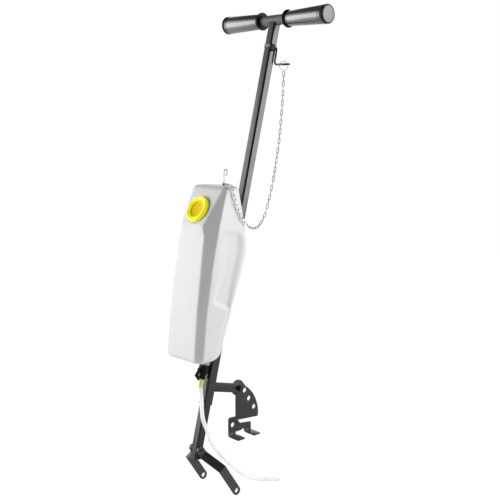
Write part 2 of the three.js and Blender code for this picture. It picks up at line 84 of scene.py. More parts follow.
# ---------------------------------------------------------------- shapes, in mm
def grid(rows, loop=False):
    """Faces over rings of points. loop joins the last ring to the first, or else both ends are closed."""
    rows = np.asarray(rows, float)
    count, around = rows.shape[:2]
    index = np.arange(count * around).reshape(count, around)
    faces = []
    for i in range(count if loop else count - 1):
        low = index[i]
        high = index[(i + 1) % count]
        for j in range(around):
            k = (j + 1) % around
            faces.append((low[j], low[k], high[k], high[j]))
    if not loop:
        faces.append(tuple(index[0][::-1]))
        faces.append(tuple(index[-1]))
    return rows.reshape(-1, 3), [tuple(int(v) for v in face) for face in faces]


def fillet(points, radius, steps, closed=True):
    """The outline with its corners rounded. radius is one number or one for each corner."""
    points = [np.array(p, float) for p in points]
    count = len(points)
    radii = radius if hasattr(radius, "__len__") else [radius] * count
    out = []
    for i, here in enumerate(points):
        ends = not closed and i in (0, count - 1)
        before = points[i - 1] - here
        after = points[(i + 1) % count] - here
        a = np.linalg.norm(before)
        b = np.linalg.norm(after)
        if ends or radii[i] <= 0 or a < 1e-6 or b < 1e-6:
            out.append(here)
            continue
        before /= a
        after /= b
        half = math.acos(float(np.clip(before @ after, -1, 1))) / 2
        if abs(half - math.pi / 2) < 1e-3:
            out.append(here)
            continue
        reach = min(radii[i] / math.tan(half), 0.499 * a, 0.499 * b)
        r = reach * math.tan(half)
        middle = (before + after) / np.linalg.norm(before + after)
        centre = here + middle * r / math.sin(half)
        start = here + before * reach - centre
        end = here + after * reach - centre
        sweep = math.pi - 2 * half
        for k in range(steps + 1):
            t = k / steps
            mix = (math.sin((1 - t) * sweep) * start + math.sin(t * sweep) * end) / math.sin(sweep)
            out.append(centre + mix)
    return np.array(out)


def arc(centre, radius, start, end, steps):
    angles = np.radians(np.linspace(start, end, steps + 1))
    return [(centre[0] + radius * math.cos(a), centre[1] + radius * math.sin(a)) for a in angles]


def lathe(profile, around, loop=False, ribs=None):
    """A body of revolution about z. ribs(angle, radius, height) gives a changed radius."""
    angles = np.linspace(0, 2 * math.pi, around, endpoint=False)
    rows = []
    for r, z in profile:
        radii = [ribs(a, r, z) if ribs else r for a in angles]
        rows.append([(q * math.cos(a), q * math.sin(a), z) for a, q in zip(angles, radii)])
    return grid(rows, loop)


def hexagon(across, low, high, bore=0.0):
    """A hex head or nut about z, its corners cut back by a cone at both ends."""
    chamfer = 0.6
    corner = across / math.sqrt(3)

    def flat(angle, r, z):
        inside = (angle + math.pi / 6) % (math.pi / 3) - math.pi / 6
        return min(r, across / 2 / math.cos(inside))

    profile = [(across / 2 - 0.3, low), (corner - 0.2, low + chamfer), (corner, low + chamfer + 0.3)]
    profile += [(corner, high - chamfer - 0.3), (corner - 0.2, high - chamfer), (across / 2 - 0.3, high)]
    if bore:
        profile += [(bore + 0.4, high), (bore, high - 0.4), (bore, low + 0.4), (bore + 0.4, low)]
    return lathe(profile, 96, loop=bool(bore), ribs=flat)


def thread(radius, low, high, pitch):
    """A threaded rod end about z."""
    heights = np.arange(low, high + 1e-6, pitch / 6)

    def ridge(angle, r, z):
        edge = min(1.0, (high - z) / pitch, (z - low) / pitch)
        wave = abs(((z / pitch - angle / (2 * math.pi)) % 1.0) - 0.5) * 2
        return r - 0.32 * pitch * (wave * edge + 1 - edge)

    return lathe([(radius, z) for z in heights], 24, ribs=ridge)


def smooth_path(points, step):
    """A centripetal spline through the points, in steps of about that length."""
    points = np.array(points, float)
    padded = np.vstack([2 * points[0] - points[1], points, 2 * points[-1] - points[-2]])
    out = []
    for i in range(1, len(padded) - 2):
        p0, p1, p2, p3 = padded[i - 1 : i + 3]
        t0 = 0.0
        t1 = t0 + np.linalg.norm(p1 - p0) ** 0.5
        t2 = t1 + np.linalg.norm(p2 - p1) ** 0.5
        t3 = t2 + np.linalg.norm(p3 - p2) ** 0.5
        count = max(2, round(float(np.linalg.norm(p2 - p1)) / step))
        for t in np.linspace(t1, t2, count, endpoint=False):
            a1 = (t1 - t) / (t1 - t0) * p0 + (t - t0) / (t1 - t0) * p1
            a2 = (t2 - t) / (t2 - t1) * p1 + (t - t1) / (t2 - t1) * p2
            a3 = (t3 - t) / (t3 - t2) * p2 + (t - t2) / (t3 - t2) * p3
            b1 = (t2 - t) / (t2 - t0) * a1 + (t - t0) / (t2 - t0) * a2
            b2 = (t3 - t) / (t3 - t1) * a2 + (t - t1) / (t3 - t1) * a3
            out.append((t2 - t) / (t2 - t1) * b1 + (t - t1) / (t2 - t1) * b2)
    out.append(points[-1])
    return np.array(out)


def carried(path, first):
    """Tangents and two sideways directions along a path, turning as little as they can."""
    tangents = np.gradient(path, axis=0)
    tangents /= np.linalg.norm(tangents, axis=1)[:, None]
    side = np.array(first, float)
    sides = []
    for tangent in tangents:
        side = side - tangent * (side @ tangent)
        side /= np.linalg.norm(side)
        sides.append(side)
    sides = np.array(sides)
    return tangents, sides, np.cross(tangents, sides)


def tube(path, radius, around, bore=None, first=(1, 0.02, 0.03), loop=False):
    """A round rod or, with bore, a hollow tube along the path."""
    path = np.asarray(path, float)
    _, side, other = carried(path, first)
    angles = np.linspace(0, 2 * math.pi, around, endpoint=False)
    around_path = angles[None, :, None]
    ring = np.cos(around_path) * side[:, None, :] + np.sin(around_path) * other[:, None, :]
    radii = np.broadcast_to(np.asarray(radius, float), (len(path),))
    outer = path[:, None, :] + radii[:, None, None] * ring
    if bore is None:
        return grid(outer, loop)
    inner = path[:, None, :] + bore * ring
    return grid(np.concatenate([outer, inner[::-1]]), loop=True)


def plate(outline, holes, thick, bevel):
    """A flat plate in x and y with rounded edges, centred on z."""
    curve = bpy.data.curves.new("plate", "CURVE")
    curve.dimensions = "2D"
    curve.fill_mode = "BOTH"
    curve.extrude = thick / 2 - bevel
    curve.bevel_depth = bevel
    curve.bevel_resolution = 2
    curve.offset = -bevel
    for loop in [outline, *holes]:
        spline = curve.splines.new("POLY")
        spline.points.add(len(loop) - 1)
        for point, place in zip(spline.points, loop):
            point.co = (place[0], place[1], 0, 1)
        spline.use_cyclic_u = True
    holder = bpy.data.objects.new("plate", curve)
    bpy.context.scene.collection.objects.link(holder)
    graph = bpy.context.evaluated_depsgraph_get()
    mesh = bpy.data.meshes.new_from_object(holder.evaluated_get(graph))
    points = np.array([v.co[:] for v in mesh.vertices])
    faces = [tuple(p.vertices) for p in mesh.polygons]
    bpy.data.objects.remove(holder)
    bpy.data.curves.remove(curve)
    bpy.data.meshes.remove(mesh)
    return points, faces


def sliced(part, axis, places):
    """The same body with its faces cut across at those places, so that it can be bent."""
    points, faces = part
    work = bmesh.new()
    verts = [work.verts.new(p) for p in points]
    for face in faces:
        work.faces.new([verts[i] for i in face])
    normal = [0, 0, 0]
    normal[axis] = 1
    for place in places:
        spot = [0, 0, 0]
        spot[axis] = place
        geometry = work.verts[:] + work.edges[:] + work.faces[:]
        bmesh.ops.bisect_plane(work, geom=geometry, plane_co=spot, plane_no=normal, dist=1e-4)
    work.verts.index_update()
    points = np.array([v.co[:] for v in work.verts])
    faces = [tuple(v.index for v in f.verts) for f in work.faces]
    work.free()
    return points, faces


def block(low, high, radius):
    """A rounded block."""
    half = [(b - a) / 2 for a, b in zip(low, high)]
    outline = [(-half[0], -half[1]), (half[0], -half[1]), (half[0], half[1]), (-half[0], half[1])]
    part = plate(fillet(outline, radius, 3), [], 2 * half[2], min(radius, half[2] * 0.6))
    return move(part, shift(*[(a + b) / 2 for a, b in zip(low, high)]))


# ---------------------------------------------------------------- pieces
def piece(name, parts, look, body, replaces=(), sharp=38.0):
    """One object made of closed bodies, in the row frame, riding on a body."""
    work = bmesh.new()
    for points, faces in parts:
        verts = [work.verts.new(p * MM) for p in np.asarray(points, float)]
        for face in faces:
            work.faces.new([verts[i] for i in face])
    bmesh.ops.remove_doubles(work, verts=work.verts, dist=1e-6)
    bmesh.ops.dissolve_degenerate(work, edges=work.edges, dist=1e-7)
    bmesh.ops.recalc_face_normals(work, faces=work.faces)
    mesh = bpy.data.meshes.new(name)
    work.to_mesh(mesh)
    work.free()
    mesh.shade_smooth()
    mesh.set_sharp_from_angle(angle=math.radians(sharp))
    mesh.materials.append(look)
    thing = bpy.data.objects.new(f"{name}_piece", mesh)
    bpy.context.scene.collection.objects.link(thing)
    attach(thing, body)
    if replaces:
        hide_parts(*replaces)
    return thing


def material(name, color, rough, grain, height, tone=0.1, spread=0.06, broad=22.0, **sockets):
    """A surface with a fine grain in its relief and slow changes of tone and gloss.

    grain and broad are the scales of the fine and the slow noise, and height is the relief in mm.
    Each other keyword sets the shader's socket of that name.
    """
    look = bpy.data.materials.new(name)
    look.use_nodes = True
    nodes = look.node_tree.nodes
    join = look.node_tree.links.new
    shader = nodes["Principled BSDF"]
    where = nodes.new("ShaderNodeTexCoord")
    fine = nodes.new("ShaderNodeTexNoise")
    fine.inputs["Scale"].default_value = grain
    fine.inputs["Detail"].default_value = 3.0
    slow = nodes.new("ShaderNodeTexNoise")
    slow.inputs["Scale"].default_value = broad
    slow.inputs["Detail"].default_value = 5.0
    join(where.outputs["Object"], fine.inputs["Vector"])
    join(where.outputs["Object"], slow.inputs["Vector"])
    mix = nodes.new("ShaderNodeMix")
    mix.data_type = "RGBA"
    mix.inputs[6].default_value = (*[c * (1 - tone) for c in color], 1)
    mix.inputs[7].default_value = (*[min(1.0, c * (1 + tone)) for c in color], 1)
    join(slow.outputs["Fac"], mix.inputs[0])
    join(mix.outputs[2], shader.inputs["Base Color"])
    gloss = nodes.new("ShaderNodeMapRange")
    gloss.inputs["From Min"].default_value = 0.3
    gloss.inputs["From Max"].default_value = 0.7
    gloss.inputs["To Min"].default_value = rough - spread
    gloss.inputs["To Max"].default_value = rough + spread
    join(slow.outputs["Fac"], gloss.inputs["Value"])
    join(gloss.outputs["Result"], shader.inputs["Roughness"])
    bump = nodes.new("ShaderNodeBump")
    bump.inputs["Distance"].default_value = height * MM
    join(fine.outputs["Fac"], bump.inputs["Height"])
    join(bump.outputs["Normal"], shader.inputs["Normal"])
    for socket, value in sockets.items():
        shader.inputs[socket.replace("_", " ")].default_value = value
    return look


# Painted and bare metal.
COAT = material("powder_coat", (0.016, 0.0165, 0.0175), 0.22, grain=900, height=0.018, IOR=1.56)
FORK_COAT = material("fork_coat", (0.02, 0.0205, 0.0215), 0.26, grain=900, height=0.018, IOR=1.78)
BAR_COAT = material("bar_coat", (0.14, 0.14, 0.145), 0.5, grain=900, height=0.018, IOR=1.5)
BLACK_STEEL = material("black_steel", (0.025, 0.025, 0.028), 0.38, grain=900, height=0.02, Metallic=0.5)
BRIGHT = material("bright_steel", (0.66, 0.67, 0.69), 0.24, grain=2500, height=0.008, Metallic=1.0)
WIRE = material("plated_wire", (0.85, 0.85, 0.86), 0.35, grain=2500, height=0.0, Metallic=0.3)
ZINC = material("zinc_chain", (0.45, 0.45, 0.46), 0.26, grain=2500, height=0.01, Metallic=1.0)
HOOK_STEEL = material("hook_steel", (0.19, 0.19, 0.195), 0.22, grain=1500, height=0.01, Metallic=0.9)
ROD_STEEL = material("rod_steel", (0.05, 0.05, 0.053), 0.3, grain=1500, height=0.01, Metallic=0.9)
BRASS = material("brass", (0.78, 0.6, 0.16), 0.3, grain=1500, height=0.008, Metallic=0.85)

# Black, grey and yellow plastics.
GRIP = material(
    "grip_lacquer", (0.008, 0.008, 0.009), 0.27, grain=1800, height=0.0, spread=0.02,
    IOR=1.7, Coat_Weight=1.0, Coat_IOR=1.95, Coat_Roughness=0.2,
)
PLASTIC = material("black_plastic", (0.014, 0.014, 0.015), 0.36, grain=1300, height=0.015)
DARK = material(
    "matt_black", (0.008, 0.008, 0.009), 0.5, grain=1500, height=0.02, Specular_IOR_Level=0.15,
)
RUBBER = material("rubber", (0.02, 0.02, 0.02), 0.7, grain=1500, height=0.03)
GREY = material("grey_plastic", (0.36, 0.37, 0.39), 0.5, grain=1200, height=0.03, tone=0.06)
# The cap's yellow carries a painted glow: its emission lightens the plastic though it is no lamp.
GLOWING_YELLOW = material(
    "yellow_plastic", (1.0, 0.93, 0.004), 0.2, grain=1500, height=0.01, tone=0.02, spread=0.04,
    IOR=1.4, Subsurface_Weight=0.3, Subsurface_Radius=(1, 1, 1), Subsurface_Scale=0.004,
    Emission_Color=(1, 0.92, 0.06, 1), Emission_Strength=0.34,
)
# A darker, more orange copy of the cap's yellow for its sunken dish: painted shade of the recess, plus a
# painted glow from its emission though it is no lamp.
SHADED_DISH_YELLOW = material(
    "yellow_dish_painted_shade", (0.85, 0.62, 0.001), 0.4, grain=1500, height=0.01, tone=0.04,
    Specular_IOR_Level=0.1, Emission_Color=(1, 0.75, 0, 1), Emission_Strength=0.16,
)
PALE = material("pale_yellow", (0.95, 0.9, 0.28), 0.3, grain=1500, height=0.0, tone=0.02)

# The milky tank and the clear hose let light in.
MILKY = material(
    "tank_plastic", (0.94, 0.945, 0.945), 0.42, grain=160, height=0.03, tone=0.02, broad=14,
    Subsurface_Weight=0.5, Subsurface_Radius=(1, 1, 1), Subsurface_Scale=0.009,
)
# The hose carries a painted glow: its white emission lightens the clear plastic though it is no lamp.
GLOWING_CLEAR = material(
    "clear_tube", (0.97, 0.975, 0.975), 0.06, grain=300, height=0.0, tone=0.01, spread=0.02,
    Transmission_Weight=0.45, IOR=1.17, Emission_Color=(1, 1, 1, 1), Emission_Strength=0.11,
)

# ---------------------------------------------------------------- hose
HOSE_ROUTE = [
    (0, -54.3, 277.2), (0, -56.7, 267.4), (0.3, -58.2, 259), (2, -59.2, 248), (4.5, -60.4, 237),
    (7.5, -61.8, 226), (10.5, -63.4, 213.5), (13.8, -65, 200), (17, -65.6, 187), (19.3, -62.6, 173.5),
    (20.8, -57.6, 160), (22.3, -53.5, 145.5), (24.2, -48.8, 131.5), (26.5, -41, 115.5), (28.5, -28, 97),
    (30, -12, 78), (31, 4, 60), (32, 20, 43.5), (33.5, 38, 27.5), (36, 60, 11), (41, 80, 0),
    (49, 97, -5.2), (60, 110.9, -6), (70, 122.5, -6), (80.4, 133.5, -6),
]
HOSE_RADIUS = 4.9
HOSE_BORE = 3.4
hose_path = smooth_path(HOSE_ROUTE, 2.5)
hose_tube = tube(hose_path, HOSE_RADIUS, 28, bore=HOSE_BORE)
hose = piece("hose", [hose_tube], GLOWING_CLEAR, "handle", ["hose"])

# ---------------------------------------------------------------- chain and split ring
CHAIN_ROUTE = [
    (12.9, 205.3, 1013), (13.7, 204.2, 996), (14.4, 203, 984), (15.8, 200.3, 962), (18, 195.5, 930),
    (20, 189.5, 893), (23, 179.5, 838), (26.3, 166, 787), (30, 151, 738), (34.5, 133.5, 697),
    (39.5, 117, 667), (45, 97.5, 648), (50.5, 79, 639.8), (56, 62, 640), (60.8, 48, 643.6),
    (66.2, 38.5, 647.6), (69.8, 29, 653.6), (70.2, 22, 661), (69.2, 14.5, 673), (68.4, 7.5, 685),
    (67.2, 0, 703), (65.9, -6.2, 724), (65, -10, 737), (62.5, -12, 745.2), (55, -11, 746.9),
    (42, -5.5, 746.9), (30, 0.5, 746.9), (18, 6.5, 746.9), (7, 12, 746.9),
]
LINK_PITCH = 11.9
LINK_WIRE = 0.78  # the wire's radius
LINK_BEND = 2.3  # radius of the middle of a link's end
LINK_REACH = 4.45  # from a link's centre to the centre of its end's bend


def link():
    """One welded link about the origin, long along z and flat across x."""
    top = arc((0, LINK_REACH), LINK_BEND, 0, 180, 10)
    foot = [(-x, -z) for x, z in top]
    path = np.array([(x, 0, z) for x, z in top + foot])
    before = np.roll(path, 1, axis=0)
    after = np.roll(path, -1, axis=0)
    tangent = after - before
    tangent /= np.linalg.norm(tangent, axis=1)[:, None]
    up = np.array([0.0, 1.0, 0.0])
    side = np.cross(tangent, up)
    angles = np.linspace(0, 2 * math.pi, 8, endpoint=False)
    rows = []
    for spot, out in zip(path, side):
        rows.append([spot + LINK_WIRE * (math.cos(a) * up + math.sin(a) * out) for a in angles])
    return grid(rows, loop=True)


chain_path = smooth_path(CHAIN_ROUTE, 2.0)


def chain_links():
    """The links along the path, each a quarter turn from the last and a little uneven."""
    tangents, sides, others = carried(chain_path, (0.678, 0.735, 0))
    run = np.concatenate([[0], np.cumsum(np.linalg.norm(np.diff(chain_path, axis=0), axis=1))])
    chance = np.random.default_rng(4)
    out = []
    for k, s in enumerate(np.arange(LINK_PITCH * 0.45, run[-1] - 1, LINK_PITCH)):
        spot = [np.interp(s, run, chain_path[:, axis]) for axis in range(3)]
        near = int(np.searchsorted(run, s))
        twist = math.radians(90 * (k % 2) + 9 * chance.uniform(-1, 1))
        across = math.cos(twist) * sides[near] + math.sin(twist) * others[near]
        matrix = np.eye(4)
        matrix[:3, 0] = across
        matrix[:3, 1] = np.cross(tangents[near], across)
        matrix[:3, 2] = tangents[near]
        matrix[:3, 3] = spot
        out.append(move(link(), matrix))
    return out


chain = piece("chain", chain_links(), ZINC, "handle", ["chain"])
RING = (12.9, 205.4, 1027.2)
RING_RADIUS = 10.3
RING_WIRE = 0.55
RING_TURN = 47.3  # about the vertical, degrees
ring_path = []
for a in np.linspace(0, 4 * math.pi, 145):
    climb = RING_WIRE * (a / (2 * math.pi) - 1)
    ring_path.append((RING_RADIUS * math.cos(a), climb, RING_RADIUS * math.sin(a)))
ring_part = move(tube(ring_path, RING_WIRE, 8, first=(0, 1, 0)), shift(*RING) @ turn("Z", RING_TURN))
split_ring = piece("split_ring", [ring_part], BRIGHT, "handle", ["split_ring"])

# ---------------------------------------------------------------- column and handlebar
BAR_Z = 1062.3
BAR_RADIUS = 12.5
BAR_WALL = 2.0
BAR_HALF = 171.0
COLUMN_HALF = 10.2
COLUMN_WALL = 2.2
COLUMN_FOOT = -20.0
COLUMN_CORNERS = [2.0, 4.6, 2.0, 2.0]  # front left, front right, back right, back left


def square(half, corner, steps=5):
    return fillet([(-half, -half), (half, -half), (half, half), (-half, half)], corner, steps)


def square_tube(half, wall, low, high, corner):
    """A square tube about z. low and high are heights or functions of a point's y."""
    outer = square(half, corner)
    inner = square(half - wall, 0.8)
    ends = [end if callable(end) else (lambda y, end=end: end) for end in (low, high)]
    rows = []
    for ring, end in ((outer, 0), (outer, 1), (inner, 1), (inner, 0)):
        rows.append([(x, y, ends[end](y)) for x, y in ring])
    return grid(rows, loop=True)


def saddle(y):
    """The column's top follows the underside of the handlebar."""
    return BAR_Z - math.sqrt((BAR_RADIUS + 0.2) ** 2 - y * y)


column_tube = square_tube(COLUMN_HALF, COLUMN_WALL, COLUMN_FOOT, saddle, COLUMN_CORNERS)
piece("column", [move(column_tube, COLUMN)], COAT, "handle", ["column"])


def bead(path, radius=1.5, closed=True):
    """A weld bead with its even ripples."""
    ripple = 2.2
    path = smooth_path(path, 0.55)
    run = np.concatenate([[0], np.cumsum(np.linalg.norm(np.diff(path, axis=0), axis=1))])
    radii = radius * (0.9 + 0.16 * np.abs(np.sin(math.pi * run / ripple)))
    if not closed:
        radii = radii * np.clip(np.minimum(run, run[-1] - run) / 1.5 + 0.3, 0.3, 1)
        return tube(path, radii, 8)
    return tube(path[:-1], radii[:-1], 8, loop=True)


rim = [(x, y, saddle(y) - 0.2) for x, y in square(COLUMN_HALF + 0.1, 2.6, 3)]
piece("handlebar_weld", [move(bead(rim + rim[:1]), COLUMN)], COAT, "handle")

plug = [
    block((-9.6, -9.6, -22.9), (9.6, 9.6, -20.3), 1.0),
    block((-7.5, -7.5, -20.6), (7.5, 7.5, -10.5), 0.8),
]
piece("column_plug", [move(p, COLUMN) for p in plug], PLASTIC, "handle", ["column_plug"])

BAR = COLUMN @ shift(0, 0, BAR_Z) @ ALONG_X
bar_profile = [
    (BAR_RADIUS, -BAR_HALF), (BAR_RADIUS, BAR_HALF),
    (BAR_RADIUS - BAR_WALL, BAR_HALF), (BAR_RADIUS - BAR_WALL, -BAR_HALF),
]
bar = lathe(bar_profile, 72, loop=True)
piece("cross_bar", [move(bar, BAR)], BAR_COAT, "handle", ["cross_bar"])


def groove(z, depth):
    """A turned groove at z, as changes of radius with their heights."""
    half = 0.9
    return [(0, z - half), (-depth, z - half * 0.5), (-depth, z + half * 0.5), (0, z + half)]


def grip_profile():
    """The grip swells towards its outer end, with turned grooves near both ends."""
    low, high = 51.0, 167.0
    inner_radius, outer_radius = 18.6, 22.3
    bore = BAR_RADIUS + 0.3

    def radius(z):
        return inner_radius + (outer_radius - inner_radius) * (z - low) / (high - low)

    outer = [(bore, low), (17.8, low), (radius(low), low + 1.2)]
    for centre, depth in ((low + 5, 0.7), (high - 9, 0.7), (high - 4.5, 1.2)):
        outer += [(radius(z) + d, z) for d, z in groove(centre, depth)]
    outer += [(radius(high) - 0.1, high - 1.6), (radius(high) - 1.4, high), (bore, high)]
    return fillet(outer, [0, 0.8] + [0.5] * (len(outer) - 3) + [0], 3)


# Radius and distance from the column's middle plane.
collar_profile = fillet(
    [(12.8, 42), (20.2, 42), (21.5, 43.4), (21.5, 46.4), (18.2, 50.4), (12.8, 50.7)], 0.7, 4)
cap_edge = fillet(
    [(12.6, 171.3), (12.6, 170.4), (18.6, 170.4), (19.4, 171.6), (19.4, 174.4), (18.2, 175.5)], 0.6, 4)
cap_profile = [(0, 171.3), *cap_edge, (0, 175.7)]
rim_profile = fillet(
    [(19.5, 167.3), (21.4, 167.3), (21.8, 168.4), (22.4, 172.4), (21.6, 174.6), (19.6, 174.8)], 0.4, 4)
for side, sign in (("left", -1), ("right", 1)):
    out = COLUMN @ shift(0, 0, BAR_Z) @ turn("Y", 90 * sign)
    grip = lathe(grip_profile(), 96, loop=True)
    piece(f"grip_{side}", [move(grip, out)], GRIP, "handle", [f"grip_{side}"])
    collar = lathe(collar_profile, 96, loop=True)
    piece(f"grip_collar_{side}", [move(collar, out)], DARK, "handle",
          [f"grip_collar_{side}"])
    cap = lathe(cap_profile, 96)
    piece(f"grip_cap_{side}", [move(cap, out)], GREY, "handle", [f"grip_cap_{side}"])
    rim_ring = lathe(rim_profile, 96, loop=True)
    piece(f"cap_rim_{side}", [move(rim_ring, out)], DARK, "handle")

# ---------------------------------------------------------------- eye hook under the handlebar
HOOK_Z = 995.8
HOOK_X = 16.0
EYE = np.array([HOOK_X, 45.8, 965.0])
EYE_TILT = 17.0
EYE_RADIUS = 9.0
HOOK_WIRE = 2.4


def strap(half_in, half_out, low, high):
    """A plain square band about z."""
    rows = [[(x, y, z) for x, y in square(half, 2.6)] for half, z in (
        (half_out, low), (half_out, high), (half_in, high), (half_in, low))]
    return grid(rows, loop=True)


def strap_roll(z, radius):
    """A rolled edge all around the strap."""
    path = [(x, y, z) for x, y in square(12.3 - radius, 3.0, 6)]
    return tube(path, radius, 12, loop=True, first=(0, 0, 1))


band = [
    strap(10.3, 11.3, HOOK_Z - 3.6, HOOK_Z + 3.6),
    strap_roll(HOOK_Z + 2.6, 1.4),
    strap_roll(HOOK_Z - 3, 1.0),
]
piece("hook_band", [move(p, COLUMN) for p in band], HOOK_STEEL, "handle", ["hook_band"])
clamp_outline = fillet([(-10.5, -9), (-4.5, -14), (1.5, -9), (1.5, 4.5), (-8.5, 4.5), (-10.5, 3)], 0.8, 3)
clamp = plate(clamp_outline, [], 4, 0.7)
YZ = turn("Y", 90) @ turn("Z", 90)  # carries a plate's x and y to Y and Z, its thickness to X
piece("hook_clip", [move(clamp, COLUMN @ shift(13.6, 0, HOOK_Z) @ YZ)], DARK, "handle",
      ["hook_clip"])
away = np.array([0, math.cos(math.radians(EYE_TILT)), math.sin(math.radians(EYE_TILT))])
LEG_X = 13.6  # close beside the column
leg = [
    (LEG_X, 0, HOOK_Z - 1.2), (LEG_X, 5, HOOK_Z - 1.2), (LEG_X, 8.3, HOOK_Z - 2.6),
    (LEG_X, 9.6, HOOK_Z - 7.5), (LEG_X, 10.3, 970), (LEG_X, 11, 960), (LEG_X + 0.3, 14.3, 956),
]
for distance, inward in ((27, 1.6), (19, 0.6), (EYE_RADIUS, 0)):
    leg.append(tuple(EYE - distance * away - (inward, 0, 0)))
eye_turns = np.linspace(math.pi, 3 * math.pi, 49)[:-1]
eye = np.array([(EYE_RADIUS * math.sin(a), EYE_RADIUS * math.cos(a), 0) for a in eye_turns])
hook = [tube(smooth_path(leg, 1.5), HOOK_WIRE, 16),
        move(tube(eye, HOOK_WIRE, 16, loop=True, first=(0, 0, 1)), shift(*EYE) @ turn("X", EYE_TILT))]
piece("hook_rod", [move(p, COLUMN) for p in hook], ROD_STEEL, "handle", ["hook_rod"])

# ---------------------------------------------------------------- tank
# Height up the column, front y, half width, corner chamfer, back of the sides, back of the spine.
STATIONS = np.array([
    (200, -101, 66.3, 15, -45, -13.8),
    (327, -121, 66.8, 16.6, -32.5, -13.8),
    (440, -132.5, 67.3, 19.5, -19, -13.8),
    (486, -136.2, 67.5, 21.5, -14, -13.8),
    (500, -136.5, 67.5, 22.2, -14.3, -13.8),
    (506, -137.0, 67.4, 22.6, -15.4, -14.6),
    (511, -138.2, 67.4, 23.6, -16.8, -15.7),
    (517, -140.2, 67.3, 25.6, -18.7, -16.4),
    (523, -141.8, 67.1, 26.9, -21.2, -18.2),
    (531, -142.5, 66.8, 27.5, -24.5, -20.5),
    (571, -130.2, 64.1, 18, -42, -35),
    (634, -110.9, 59.5, 5.5, -70, -60),
    (670, -99.8, 57, 2, -86, -74),
])
SPINE_HALF = 27.0
TANK_LOW = 337.0
TANK_HIGH = 742.4
FOOT_ROUND = 24.0  # the round at the foot of the tank's back
RECESS_DEPTH = 3.4
PARTING_DEPTH = 1.1
SIN = math.sin(math.radians(LEAN))
COS = math.cos(math.radians(LEAN))
EDGE_STEPS = (12, 10, 60, 14, 10, 14, 60, 10)  # along each side of the tank's outline


def station(entry, z):
    """One entry of the table at that height up the column."""
    return np.interp(z, STATIONS[:, 0], STATIONS[:, entry])


def level_cut(height, y_of):
    """Where the line y = y_of(z) crosses a level plane: its y and z up the column."""
    y = -60.0  # a first guess, which soon settles
    for _ in range(12):
        z = (height - COLUMN_Z + SIN * y) / COS
        y = y_of(z)
    return y, (height - COLUMN_Z + SIN * y) / COS


def tank_corners(height):
    """The right half of the tank's outline at that height, as X and Y of the row frame."""
    half = []
    for y_of, x_of in (
        (lambda z: station(1, z), lambda z: station(2, z) - station(3, z)),
        (lambda z: station(1, z) + station(3, z), lambda z: station(2, z)),
        (lambda z: station(4, z), lambda z: station(2, z)),
        (lambda z: station(5, z), lambda z: SPINE_HALF),
    ):
        y, z = level_cut(height, y_of)
        half.append((x_of(z), COLUMN_Y + COS * y + SIN * z))
    # The round at the foot draws in the tank's back only.
    low = min((height - TANK_LOW) / FOOT_ROUND, 1.0)
    cut = FOOT_ROUND * (1 - math.sqrt(1 - (1 - low) ** 2))
    return [(x, y - cut * share) for (x, y), share in zip(half, (0, 0, 1, 1.3))]


def inset(points, distance):
    """The convex outline moved inwards."""
    count = len(points)
    out = []
    for i in range(count):
        a, b, c = (np.array(points[(i + k) % count], float) for k in (-1, 0, 1))
        ahead = (c - b) / np.linalg.norm(c - b)
        behind = (b - a) / np.linalg.norm(b - a)
        n1 = np.array([-behind[1], behind[0]])
        n2 = np.array([-ahead[1], ahead[0]])
        out.append(b + distance * (n1 + n2) / (1 + n1 @ n2))
    return out


def tank_ring(height, shrink=0.0):
    """The tank's rounded outline at that height, moved inwards by shrink."""
    half = tank_corners(height)
    corners = half + [(-x, y) for x, y in reversed(half)]
    if shrink:
        corners = inset(corners, shrink)
    soft = [max(r - 0.6 * shrink, 1.5) for r in (9, 6, 11, 5, 5, 11, 6, 9)]
    rounded = fillet(corners, soft, 6)
    groups = rounded.reshape(8, 7, 2)
    ring = []
    for i in range(8):
        ring.extend(groups[i])
        start = groups[i][-1]
        end = groups[(i + 1) % 8][0]
        steps = EDGE_STEPS[(i + 1) % 8]
        ring.extend(start + (end - start) * t for t in np.linspace(0, 1, steps + 1)[1:-1])
    return np.array([(x, y, height) for x, y in ring])


def smoothstep(edge0, edge1, value):
    t = np.clip((value - edge0) / (edge1 - edge0), 0, 1)
    return t * t * (3 - 2 * t)


def side_relief(y, z):
    """How deep the side wall lies behind its plane: a soft recess, and the parting step below it."""
    front = np.interp(z, [345, 371, 528, 545], [-90, -95, -111, -112])
    back = np.interp(z, [345, 444, 500, 540], [-38, -27.5, -26.5, -40])
    top = np.interp(y, [-109, -45], [530, 541])
    low = np.interp(y, [-93, -42], [358, 346])
    recess = (
        smoothstep(front, front + np.interp(z, [352, 372, 430], [6, 12, 40]), y)
        * smoothstep(back, back - np.interp(z, [352, 372, 430], [8, 14, 24]), y)
        * smoothstep(top, top - 18, z)
        * smoothstep(low, low + 13, z)
    )
    heights = [200, 216, 226, 248, 267, 297, 328, 345]
    step = np.interp(z, heights, [-80, -72, -61, -53, -55.4, -52.6, -49, -47])
    parting = smoothstep(step, step + 3, y) * smoothstep(350, 335, z)
    return RECESS_DEPTH * recess + PARTING_DEPTH * parting


